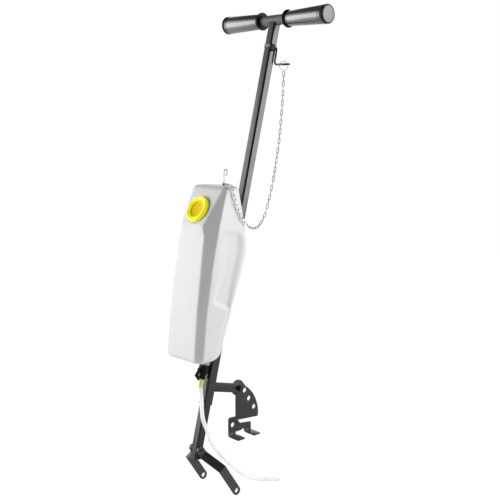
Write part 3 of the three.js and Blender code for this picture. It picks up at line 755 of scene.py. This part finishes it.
def tank_shell():
    """The tank's outer surface as level rings, with rounded lower and upper edges."""
    rows = []
    low_round, high_round = 13.0, 8.0
    angles = np.radians(np.linspace(0, 90, 13))
    for a in angles[:-1]:
        rows.append(tank_ring(TANK_LOW + low_round * (1 - math.cos(a)), low_round * (1 - math.sin(a))))
    for height in np.linspace(TANK_LOW + low_round, TANK_HIGH - high_round, 190):
        rows.append(tank_ring(height))
    for a in angles[::-1][1:]:
        height = TANK_HIGH - high_round * (1 - math.cos(a))
        rows.append(tank_ring(height, high_round * (1 - math.sin(a))))
    for end in (0, -1):
        ring = rows[end]
        centre = ring.mean(axis=0)
        inner = [centre + (ring - centre) * s for s in (0.93, 0.8, 0.6, 0.4, 0.2)]
        rows = inner[::-1] + rows if end == 0 else rows + inner
    rows = np.array(rows)
    flat = rows.reshape(-1, 3)
    y = (flat[:, 1] - COLUMN_Y) * COS - (flat[:, 2] - COLUMN_Z) * SIN
    z = (flat[:, 1] - COLUMN_Y) * SIN + (flat[:, 2] - COLUMN_Z) * COS
    wide = np.interp(z, STATIONS[:, 0], STATIONS[:, 2])
    on_side = smoothstep(wide - 1.2, wide - 0.4, np.abs(flat[:, 0]))
    flat[:, 0] -= np.sign(flat[:, 0]) * on_side * side_relief(y, z)
    return grid(flat.reshape(rows.shape))


# The filler sits on the facet that slopes back from the tank's front ridge.
RIDGE_Y = -142.5
RIDGE_Z = 531
FACET_Z = 568.3
FACET_SLOPE = 12.3 / 40
FACET_Y = RIDGE_Y + FACET_SLOPE * (FACET_Z - RIDGE_Z)
FILLER = COLUMN @ shift(0, FACET_Y, FACET_Z) @ turn("X", 90 - math.degrees(math.atan(FACET_SLOPE)))
OUTLET = COLUMN @ shift(0, -25.7, 0)

neck = [(27.0, -3), (27.0, 4.6), (26.4, 5), (23.4, 5), (23, 4.6), (23, -3)]
skirt = [(29, -2.5), (36.5, -2.5), (35.4, 0.1), (34.2, 0.35), (29, 0.35)]
outlet_neck = [(5.5, 207.6), (8.6, 207.4), (9, 207.8), (9, 236), (10, 239), (13.5, 242), (5.5, 242)]
piece("tank", [
    tank_shell(),
    move(lathe(neck, 72, loop=True), FILLER),
    move(lathe(skirt, 96, loop=True), FILLER),
    move(lathe(outlet_neck, 48, loop=True), OUTLET),
], MILKY, "handle", ["tank"], sharp=50)

# ---------------------------------------------------------------- filler cap


def knurl(angle, r, z):
    """Fine grip ribs on the cap's skirt only."""
    if r < 31 or z > 6.6:
        return r
    return r - 0.5 * (0.5 - 0.5 * math.cos(60 * angle)) ** 2


# From the hollow underside round the skirt, over the rim and down into the dish.
cap_outline = [
    (0, 1.2), (22.0, 1.2), (22.0, 6.9), (27.6, 6.9), (27.6, 0.5), (31.4, 0.5), (31.8, 0.9), (31.8, 6.4),
    (31.5, 7.5), (30.8, 8.3), (29.8, 8.8), (28.4, 9.1), (26.8, 9.0), (25.4, 8.5), (24.4, 7.5),
    (22.6, 4.2), (20.6, 3.2), (19, 2.9), (0, 2.6),
]
cap = move(lathe(cap_outline, 360, ribs=knurl), FILLER)
piece("filler_cap", [cap], GLOWING_YELLOW, "cap", ["filler_cap"], sharp=30)
# A sheet in the darker yellow laid over the cap's dish: painted shade in the recess, with a painted glow.
dish = [(0, 3.0), (19.2, 3.1), (21.4, 3.9), (22.6, 5.2), (22.9, 6.2), (21.6, 3.2), (19, 2.7), (0, 2.5)]
piece("cap_dish_painted_shade", [move(lathe(dish, 96), FILLER)], SHADED_DISH_YELLOW, "cap")
gasket = lathe([(23.2, 5.3), (26.8, 5.3), (26.8, 6.6), (23.2, 6.6)], 64, loop=True)
piece("cap_gasket", [move(gasket, FILLER)], RUBBER, "cap", ["cap_gasket"])

# ---------------------------------------------------------------- valve rod
ROD_TOP = np.array([0, -68.6, 642.0])
ROD_FOOT = np.array([0, -25.7, 250.0])
CROOK = 3.8  # radius of the bend at the rod's top
rod_run = ROD_TOP - ROD_FOOT
rise = np.array([0, -SIN, COS])
aside = np.array([math.sqrt(0.5), math.sqrt(0.5) * COS, math.sqrt(0.5) * SIN])
shank = ROD_TOP + 0.012 * rod_run
bend = shank + 25 * rise + CROOK * aside
rod_points = [ROD_FOOT + share * (shank - ROD_FOOT) for share in (0, 0.5, 0.97, 1)]
rod_points += [shank + 12 * rise, shank + 20 * rise]
for a in np.linspace(math.pi, 0, 10):
    rod_points.append(bend + CROOK * (math.cos(a) * aside + math.sin(a) * rise))
for across, down in ((3.6, 4), (2.6, 8), (0.8, 11)):
    rod_points.append(bend + across * aside - down * rise)
rod = tube(smooth_path(rod_points, 1.6), 1.55, 12)
piece("valve_rod", [move(rod, COLUMN)], WIRE, "valve_rod", ["valve_rod"])
axis_tilt = math.degrees(math.atan2(-rod_run[1], rod_run[2]))
GROMMET = COLUMN @ shift(*ROD_TOP) @ turn("X", axis_tilt)
grommet = fillet([(2.2, -4), (3.9, -4), (3.9, 0.1), (3.2, 0.4), (2.2, 0.4)], 0.3, 3)
piece("rod_grommet", [move(lathe(grommet, 32, loop=True), GROMMET)], RUBBER, "handle",
      ["rod_grommet"])
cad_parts["valve_seal"].data.materials.clear()
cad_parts["valve_seal"].data.materials.append(RUBBER)

# ---------------------------------------------------------------- outlet, tap and barb


def union_ribs(angle, r, z):
    """Twelve ribs on the nut's outside only."""
    return r - (0.7 * (0.5 - 0.5 * math.cos(12 * angle)) ** 3 if r > 12 else 0)


union = fillet([(9.9, 207), (12.2, 207), (12.8, 207.8), (12.8, 213), (12.2, 213.9), (9.9, 213.9)], 0.4, 3)
union_nut = lathe(union, 144, loop=True, ribs=union_ribs)
piece("outlet_nut", [move(union_nut, OUTLET)], GREY, "handle", ["outlet_nut"])
TAP = OUTLET @ shift(0, 0, 194)
body_profile = fillet([
    (3.3, 172), (7.4, 172), (8, 173), (8, 183.5), (11.5, 187), (12.2, 190), (12.2, 203), (11.4, 206.6),
    (5, 206.6), (5, 196), (3.3, 194),
], 0.7, 4)
valve_body = move(lathe(body_profile, 72, loop=True), OUTLET)
seat_profile = fillet([(3.4, 8.5), (5.4, 8.5), (5.4, 12.2), (5, 12.6), (3.4, 12.6)], 0.3, 3)
stem_seat = move(lathe(seat_profile, 40, loop=True), TAP @ turn("X", 90))
piece("valve_body", [valve_body, stem_seat], DARK, "handle", ["valve_body"])
# The wing hangs in front of the body and reaches back under its wide part.
wing_outline = fillet([
    (-13.2, 4), (-13.2, -14), (-9, -15), (-8.6, -24), (-11, -26), (-23.5, -15), (-18, -3), (-17, 4),
], 1.2, 5)
wing = move(plate(wing_outline, [], 6, 1.2), TAP @ YZ)
stem = move(lathe([(0, 5.6), (2.9, 5.6), (2.9, 14), (0, 14)], 32), TAP @ turn("X", 90))
piece("tap_lever", [wing, stem], DARK, "tap", ["tap_lever"])
inside = smooth_path([(0, -48.6, 300.4), (0, -51.8, 287.6), *HOSE_ROUTE[:4]], 0.5)
run = np.concatenate([[0], np.cumsum(np.linalg.norm(np.diff(inside, axis=0), axis=1))])
teeth = np.where(run < 14, 2.3, 2.3 + 0.85 * ((run * 0.28) % 1.0))
barb = tube(inside, teeth, 24)
piece("hose_barb", [barb], BRASS, "handle", ["hose_barb"])
clip_profile = [(5.4, 161.8), (5.9, 161.8), (6.2, 162.2), (6.2, 165.8), (5.9, 166.2), (5.4, 166.2)]
clip = move(lathe(clip_profile, 64, loop=True), OUTLET)
piece("hose_clip", [clip], PALE, "handle", ["hose_clip"])
ferrule = tube(hose_path[:8], HOSE_RADIUS + 0.35, 28, bore=HOSE_RADIUS + 0.05)
piece("hose_ferrule", [ferrule], PALE, "handle")

# ---------------------------------------------------------------- tank screws
for where, z in (("lower", 330), ("upper", 480)):
    spot = COLUMN @ shift(0, 0, z) @ ALONG_Y
    head = [hexagon(9.5, 10.4, 14.2), thread(2.9, -24.8, 10.8, 1.0)]
    piece(f"tank_screw_{where}", [move(p, spot) for p in head], BLACK_STEEL, "handle",
          [f"tank_screw_{where}"])
    spacer = fillet([(3.4, -13.4), (8, -13.4), (8, -10.4), (3.4, -10.4)], 0.5, 3)
    piece(f"tank_spacer_{where}", [move(lathe(spacer, 48, loop=True), spot)], RUBBER, "handle",
          [f"tank_spacer_{where}"])

# ---------------------------------------------------------------- sleeve and side bar
SIDE_BAR_Z = 154.5
SIDE_BAR_HALF = 11.5
PIVOT_Y = 99.6
sleeve_tube = square_tube(12.5, 2.2, 111, 261, 3.0)
piece("sleeve", [move(sleeve_tube, COLUMN)], COAT, "sleeve", ["sleeve"])
SCREW = COLUMN @ shift(0, 0, 135) @ turn("Y", -90)
screw = [hexagon(11, 16.6, 21), thread(2.9, 10.4, 17, 1.0)]
piece("sleeve_screw", [move(p, SCREW) for p in screw], BLACK_STEEL, "sleeve",
      ["sleeve_screw"])
lock_nut = hexagon(11, 12.9, 16.1, bore=3.3)
piece("sleeve_nut", [move(lock_nut, SCREW)], BLACK_STEEL, "sleeve", ["sleeve_nut"])

bar_end = arc((PIVOT_Y, 0), SIDE_BAR_HALF, -90, 90, 24)
bar_outline = [(12.6, -SIDE_BAR_HALF), *bar_end, (12.6, SIDE_BAR_HALF)]
side_bar = plate(bar_outline, [arc((PIVOT_Y, 0), 4.4, 0, 348, 29)], 6, 0.7)
piece("side_bar", [move(side_bar, COLUMN @ shift(3, 0, SIDE_BAR_Z) @ YZ)], COAT, "sleeve",
      ["side_bar"])
welds = []
for x in (-0.4, 6.4):
    seam = [(x, 13.0, SIDE_BAR_Z + up) for up in (-11, 0, 11)]
    welds.append(bead(seam, 1.7, closed=False))
piece("side_bar_weld", [move(w, COLUMN) for w in welds], COAT, "sleeve")

# ---------------------------------------------------------------- index bracket
PIVOT = COLUMN @ shift(0, PIVOT_Y, SIDE_BAR_Z)
THICK = 4.0
FOLD_RADIUS = 4.0  # of the middle of the plate
FOLD_Z = -117.0
TAB_END = FOLD_Z - FOLD_RADIUS * math.pi / 2 - 32.3
lug_arc = arc((0, 0), 20, math.degrees(math.pi + 1.25), math.degrees(0.75), 24)
sector = arc((-30, -84), 100, math.degrees(0.97), math.degrees(0.02), 26)
front_corner = fillet([(-30.5, -119), (-30.5, -72.8), (-7.5, -74)], [0, 5, 0], 6, closed=False)
bracket_outline = [
    (-30.5, TAB_END), *front_corner, (-6.3, -77), *lug_arc, *sector, (69.5, -86), (67, -90.5),
    (-0.5, -84.5), (8, -94.8), (43, -99), (44.2, -101), (44.2, TAB_END), (23, TAB_END), (23, -119),
    (21, -113.5), (16.5, -110), (13, -113.5), (-4.5, -114.5), (-7.5, -112), (-8, -119), (-8, TAB_END),
]
bracket_holes = [arc(centre, radius, 0, 345, 23) for centre, radius in (
    ((0, 0), 4.5), ((23.4, -12), 6.3), ((38, -36.2), 6.3), ((55.2, -62.3), 6.3), ((-17.5, -93.4), 6.3))]


def fold(part):
    """Bends the two foot tabs out of the plate. x and y are the plate's own, z its thickness."""
    points, faces = part
    out = []
    for y, z, w in points:
        past = FOLD_Z - z
        if past <= 0:
            out.append((w, y, z))
            continue
        angle = min(past / FOLD_RADIUS, math.pi / 2)
        along = past - angle * FOLD_RADIUS
        reach = FOLD_RADIUS - w
        out.append((
            FOLD_RADIUS - reach * math.cos(angle) + along * math.sin(angle),
            y,
            FOLD_Z - reach * math.sin(angle) - along * math.cos(angle),
        ))
    return np.array(out), faces


bracket = plate(bracket_outline, bracket_holes, THICK, 0.5)
bracket = sliced(bracket, 1, [FOLD_Z - k * 0.7 for k in range(11)])
bracket = move(fold(bracket), PIVOT @ turn("X", LEAN) @ shift(-2.3, 0, 0))
piece("index_bracket", [bracket], COAT, "bracket", ["index_bracket"], sharp=30)
washer = fillet([(4.4, 6.3), (8.5, 6.3), (8.5, 7.9), (4.4, 7.9)], 0.3, 3)
piece("bracket_washer", [move(lathe(washer, 64, loop=True), PIVOT @ ALONG_X)], BLACK_STEEL, "sleeve",
      ["bracket_washer"])
bolt = [
    hexagon(12.6, 8.2, 14),
    lathe([(0, -5), (3.9, -5), (3.9, 8.6), (0, 8.6)], 32),
    thread(3.95, -13.6, -4.6, 1.25),
]
piece("bracket_bolt", [move(p, PIVOT @ ALONG_X) for p in bolt], BLACK_STEEL, "sleeve",
      ["bracket_bolt"])
nut = hexagon(12.6, -11.4, -4.6, bore=4.3)
piece("bracket_nut", [move(nut, PIVOT @ ALONG_X)], BLACK_STEEL, "sleeve", ["bracket_nut"])

# ---------------------------------------------------------------- fork
ARM_LENGTH = 127.5
ARM_MID = 12.9  # |X| of the middle of the arm beside the column
ARM_FAR = 63.5
ARM_END = 11.0  # radius of both ends
arm_corners = [(ARM_MID, ARM_LENGTH + ARM_END), (ARM_MID, 112.7), (ARM_FAR, 81.7), (ARM_FAR, -ARM_END)]
arm_line = fillet(arm_corners, 5.0, 10, closed=False)
arm_run = np.concatenate([[0], np.cumsum(np.linalg.norm(np.diff(arm_line, axis=0), axis=1))])
ARM_TOTAL = arm_run[-1]


def bent_arm(part, sign):
    """Carries the flat strip onto the cranked line. x runs along it, y across it, z through it."""
    points, faces = part
    out = []
    for s, y, w in points:
        s = min(max(s, 0.0), ARM_TOTAL)
        k = int(np.clip(np.searchsorted(arm_run, s) - 1, 0, len(arm_line) - 2))
        here = [np.interp(s, arm_run, arm_line[:, axis]) for axis in (0, 1)]
        along = arm_line[k + 1] - arm_line[k]
        ahead = along / np.linalg.norm(along)
        out.append((sign * (here[0] - ahead[1] * w), y, here[1] + ahead[0] * w))
    return np.array(out), faces


bolt_end = (ARM_END, 0)
pin_end = (ARM_TOTAL - ARM_END, 0)
strip_outline = [*arc(bolt_end, ARM_END, 90, 270, 24), *arc(pin_end, ARM_END, -90, 90, 24)]
strip_holes = [arc(bolt_end, 4.05, 0, 345, 23), arc(pin_end, 6, 0, 345, 23)]
strip = sliced(plate(strip_outline, strip_holes, 5, 0.6), 0, arm_run[1:-1])
for side, sign in (("right", 1), ("left", -1)):
    piece(f"fork_arm_{side}", [move(bent_arm(strip, sign), FORK)], FORK_COAT, "fork",
          [f"fork_arm_{side}"], sharp=30)
BOLT = FORK @ shift(0, 0, ARM_LENGTH) @ ALONG_X
washer = fillet([(4.4, -17.3), (8, -17.3), (8, -15.7), (4.4, -15.7)], 0.3, 3)
piece("fork_washer_left", [move(lathe(washer, 64, loop=True), BOLT)], BLACK_STEEL, "fork",
      ["fork_washer_left"])
bolt = [
    hexagon(13, -22.9, -17.6),
    lathe([(0, -18), (3.95, -18), (3.95, 14.9), (3.6, 15.3), (0, 15.3)], 32),
]
piece("fork_bolt", [move(p, BOLT) for p in bolt], BLACK_STEEL, "fork", ["fork_bolt"])

# ---------------------------------------------------------------- floor, light and world
def seen_or_lit(tree, lit, seen, output):
    """Shows seen to the camera and through clear plastic, and lit to all other light.

    Returns the light path node.
    """
    path = tree.nodes.new("ShaderNodeLightPath")
    straight = tree.nodes.new("ShaderNodeMath")
    straight.operation = "MAXIMUM"
    mix = tree.nodes.new("ShaderNodeMixShader")
    join = tree.links.new
    join(path.outputs["Is Camera Ray"], straight.inputs[0])
    join(path.outputs["Is Transmission Ray"], straight.inputs[1])
    join(straight.outputs["Value"], mix.inputs["Fac"])
    join(lit, mix.inputs[1])
    join(seen, mix.inputs[2])
    join(mix.outputs["Shader"], output)
    return path


floor_look = bpy.data.materials.new("floor")
floor_look.use_nodes = True
tree = floor_look.node_tree
paper = tree.nodes["Principled BSDF"]
paper.inputs["Roughness"].default_value = 0.9
paper.inputs["Specular IOR Level"].default_value = 0.0
shown = tree.nodes.new("ShaderNodeBsdfPrincipled")
shown.inputs["Base Color"].default_value = (0.1, 0.1, 0.1, 1)
shown.inputs["Roughness"].default_value = 1.0
shown.inputs["Specular IOR Level"].default_value = 0.0
shown.inputs["Emission Color"].default_value = (1, 1, 1, 1)
shown.inputs["Emission Strength"].default_value = 0.99
light_path = seen_or_lit(tree, paper.outputs["BSDF"], shown.outputs["BSDF"],
                         tree.nodes["Material Output"].inputs["Surface"])
# The paper looks a little lighter in reflections than it is for diffuse light.
tint = tree.nodes.new("ShaderNodeMix")
tint.data_type = "RGBA"
tint.inputs[6].default_value = (0.88, 0.88, 0.88, 1)
tint.inputs[7].default_value = (0.95, 0.95, 0.95, 1)
tree.links.new(light_path.outputs["Is Glossy Ray"], tint.inputs[0])
tree.links.new(tint.outputs[2], paper.inputs["Base Color"])

REACH = 14.0  # half the floor's side, m
corners = [(-REACH, -REACH, 0), (REACH, -REACH, 0), (REACH, REACH, 0), (-REACH, REACH, 0)]
floor_mesh = bpy.data.meshes.new("floor")
floor_mesh.from_pydata(corners, [], [(0, 1, 2, 3)])
floor_mesh.materials.append(floor_look)
floor = bpy.data.objects.new("floor", floor_mesh)
floor.location.z = FLOOR * MM - 0.0002
bpy.context.scene.collection.objects.link(floor)

world = bpy.data.worlds.new("studio")
bpy.context.scene.world = world
world.use_nodes = True
tree = world.node_tree
backdrop = tree.nodes["Background"]
backdrop.inputs["Color"].default_value = (1, 1, 1, 1)
backdrop.inputs["Strength"].default_value = 1.0
dim_room = tree.nodes.new("ShaderNodeBackground")
dim_room.inputs["Color"].default_value = (1, 1, 1, 1)
dim_room.inputs["Strength"].default_value = 0.12
seen_or_lit(tree, dim_room.outputs["Background"], backdrop.outputs["Background"],
            tree.nodes["World Output"].inputs["Surface"])


def softbox(name, azimuth, distance, height, size, power):
    """A big soft light facing the tank. Azimuth 0 is in front of it and 90 on its right."""
    lamp = bpy.data.lights.new(name, "AREA")
    lamp.shape = "RECTANGLE"
    lamp.size, lamp.size_y = size
    lamp.energy = power
    light = bpy.data.objects.new(name, lamp)
    a = math.radians(azimuth)
    light.location = (distance * math.sin(a), -distance * math.cos(a), height)
    aim = np.array([0, 0, 0.55]) - np.array(light.location)
    light.rotation_euler = Vector(aim).to_track_quat("-Z", "Y").to_euler()
    bpy.context.scene.collection.objects.link(light)


softbox("left_softbox", -48, 2.6, 0.97, (3.2, 1.84), 61)
softbox("left_high_softbox", -48, 2.6, 2.3, (3.2, 0.8), 9)
softbox("right_softbox", 133, 2.6, 1.15, (1.5, 1.8), 51)
softbox("back_softbox", 227, 3.2, 1.5, (3.6, 2.6), 34)

bpy.context.scene.view_settings.view_transform = "Standard"
